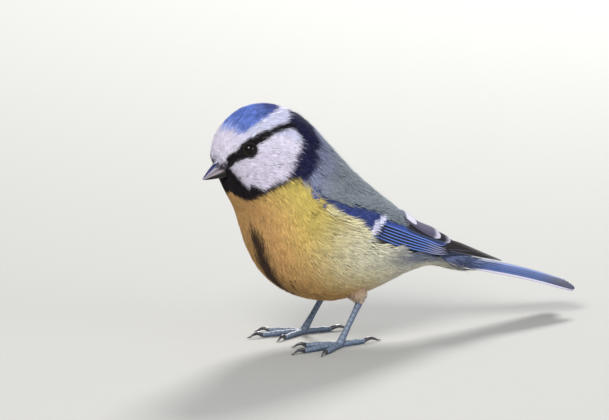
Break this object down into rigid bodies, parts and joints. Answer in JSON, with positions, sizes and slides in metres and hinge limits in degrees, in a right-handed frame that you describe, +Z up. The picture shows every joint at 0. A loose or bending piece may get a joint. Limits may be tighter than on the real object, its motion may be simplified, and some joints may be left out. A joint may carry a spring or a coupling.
{
  "type": "blue tit",
  "caption": "Life-size blue tit standing still on the floor, head bent down, wings folded, tail trailing low.",
  "frame": {"origin": "on the floor under the middle of the bird's length and width", "axes": "-X is the way the bird faces, +X runs back along its tail, -Y is its left side, +Z is up"},
  "size_m": [0.1065, 0.034, 0.062],
  "materials": {
    "head_plumage": "soft feathers, blue cap, white cheek and dark eye line",
    "collar_plumage": "soft dark navy feathers",
    "breast_plumage": "soft yellow feathers below, grey-green above",
    "flight_feathers": "smooth blue-edged dark vanes with a whitish bar",
    "tail_feathers": "smooth blue-edged dark vanes",
    "bill": "smooth dark horn with paler cutting edges",
    "eye": "wet, very dark brown",
    "leg_skin": "blue-grey scales",
    "claw": "smooth dark horn"
  },
  "bodies": {
    "root": {"head": "head_plumage", "neck": "collar_plumage", "torso": "breast_plumage", "wing_left": "flight_feathers", "wing_right": "flight_feathers", "tail": "tail_feathers", "bill_upper": "bill", "bill_lower": "bill", "eye_left": "eye", "eye_right": "eye", "thigh_left": "breast_plumage", "thigh_right": "breast_plumage", "tarsus_left": "leg_skin", "tarsus_right": "leg_skin", "foot_left": "leg_skin", "foot_right": "leg_skin", "claw_inner_left": "claw", "claw_middle_left": "claw", "claw_outer_left": "claw", "claw_hind_left": "claw", "claw_inner_right": "claw", "claw_middle_right": "claw", "claw_outer_right": "claw", "claw_hind_right": "claw"}
  },
  "joints": []
}
